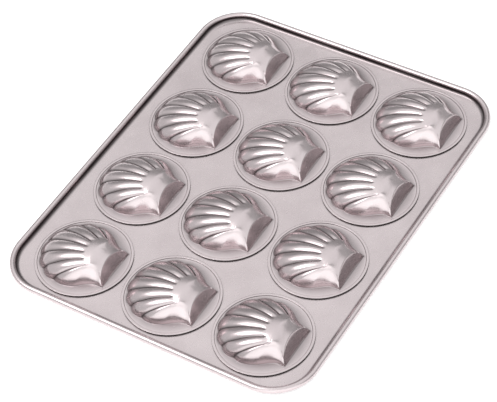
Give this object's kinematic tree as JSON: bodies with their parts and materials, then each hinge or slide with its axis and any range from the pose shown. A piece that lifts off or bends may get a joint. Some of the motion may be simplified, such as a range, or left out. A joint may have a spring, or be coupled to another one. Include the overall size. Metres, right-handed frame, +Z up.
{
  "type": "madeleine pan",
  "caption": "Shell-cake baking pan: a rectangular non-stick sheet tray with a rolled, wired rim and separately pressed shell cups folded round its holes, lying domes up.",
  "frame": {"origin": "centre of the outline's box, on the flat face that the tray rests on (Z = 0)", "axes": "+X along the long, four-cup side; +Y along the short, three-cup side towards the shells' fans; +Z up from the resting face, towards the shells' domes, as in the picture"},
  "size_m": [0.3888, 0.3052, 0.0217],
  "materials": {
    "tray_coat": "satin",
    "cup_coat": "satin",
    "wire": "satin"
  },
  "bodies": {
    "root": {"tray_plate": "tray_coat", "rim_wire": "wire", "shell_cup_1": "cup_coat", "shell_cup_2": "cup_coat", "shell_cup_3": "cup_coat", "shell_cup_4": "cup_coat", "shell_cup_5": "cup_coat", "shell_cup_6": "cup_coat", "shell_cup_7": "cup_coat", "shell_cup_8": "cup_coat", "shell_cup_9": "cup_coat", "shell_cup_10": "cup_coat", "shell_cup_11": "cup_coat", "shell_cup_12": "cup_coat"}
  },
  "joints": []
}
